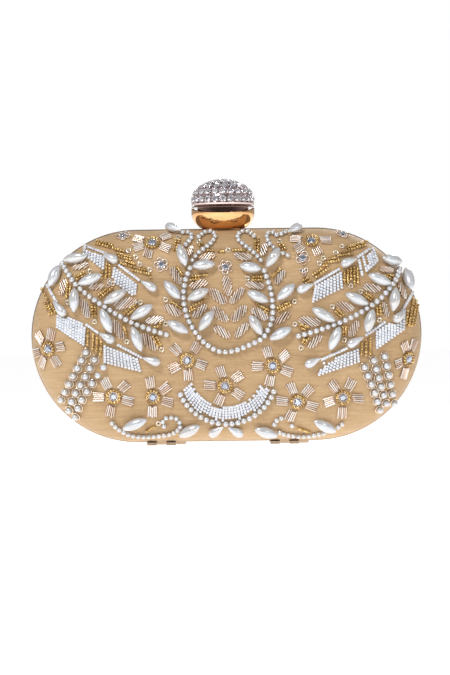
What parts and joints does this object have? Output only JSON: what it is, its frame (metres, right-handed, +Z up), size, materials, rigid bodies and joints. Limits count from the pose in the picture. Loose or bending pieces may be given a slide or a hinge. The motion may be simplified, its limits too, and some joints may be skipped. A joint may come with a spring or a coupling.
{
  "type": "evening bag",
  "caption": "Oval hard-shell evening clutch with silk covers, pearl and bead embroidery on the front, bottom hinges and a rhinestone dome clasp.",
  "frame": {"origin": "on the floor under the middle of the bag's bounding box", "axes": "+X the bag's width to the right as seen from the front, -Y the front with the embroidery, +Z up to the clasp"},
  "size_m": [0.2, 0.0576, 0.1362],
  "materials": {
    "silk": "satin",
    "shell_board": "matte",
    "lining_cloth": "satin",
    "frame_metal": "polished",
    "steel": "brushed",
    "clasp_gold": "polished",
    "dome_metal": "polished",
    "rhinestone": "gloss",
    "pearl": "gloss",
    "white_bead": "gloss",
    "gold_bead": "gloss",
    "silver_wire": "satin",
    "rose_wire": "polished",
    "sequin": "gloss"
  },
  "bodies": {
    "back": {"back_cover": "silk", "back_frame": "frame_metal", "back_hinge_knuckles_left": "frame_metal", "back_hinge_knuckles_right": "frame_metal", "back_lining": "lining_cloth", "back_shell": "shell_board", "clasp_pin": "steel", "clasp_rear_cup": "clasp_gold", "clasp_spring": "steel", "hinge_pin_left": "steel", "hinge_pin_right": "steel", "rear_clasp_rivets": "clasp_gold"},
    "front": {"accent_loops": "rose_wire", "accent_stones": "rhinestone", "bullion_leaves": "silver_wire", "clasp_front_cup": "clasp_gold", "clasp_keeper": "steel", "cluster_pearls": "pearl", "cluster_rings": "rose_wire", "drop_pearls": "pearl", "flower_bead_rings": "gold_bead", "flower_petals": "silver_wire", "flower_stones": "rhinestone", "front_clasp_rivets": "clasp_gold", "front_cover": "silk", "front_frame": "frame_metal", "front_hinge_knuckles_left": "frame_metal", "front_hinge_knuckles_right": "frame_metal", "front_lining": "lining_cloth", "front_shell": "shell_board", "gold_bead_rows": "gold_bead", "lyre_pearls": "pearl", "marquise_pearls": "pearl", "scroll_pearls": "pearl", "sequins": "sequin", "stem_pearls": "pearl", "white_seed_rows": "white_bead"},
    "dome": {"clasp_dome": "dome_metal", "dome_base": "dome_metal", "dome_rhinestones": "rhinestone", "clasp_lever": "steel", "dome_screws": "steel"}
  },
  "joints": [
    {"name": "shell_hinge", "type": "hinge", "parent": "back", "child": "front", "pos_m": [0, 0.003, 0.00145], "axis": [1, 0, 0], "range_deg": [0, 90]},
    {"name": "clasp_tilt", "type": "hinge", "parent": "back", "child": "dome", "pos_m": [-0.001, 0.007, 0.115], "axis": [-1, 0, 0], "range_deg": [0, 10], "stiffness_Nm_per_rad": 0.06, "springref_deg": -28.65}
  ]
}
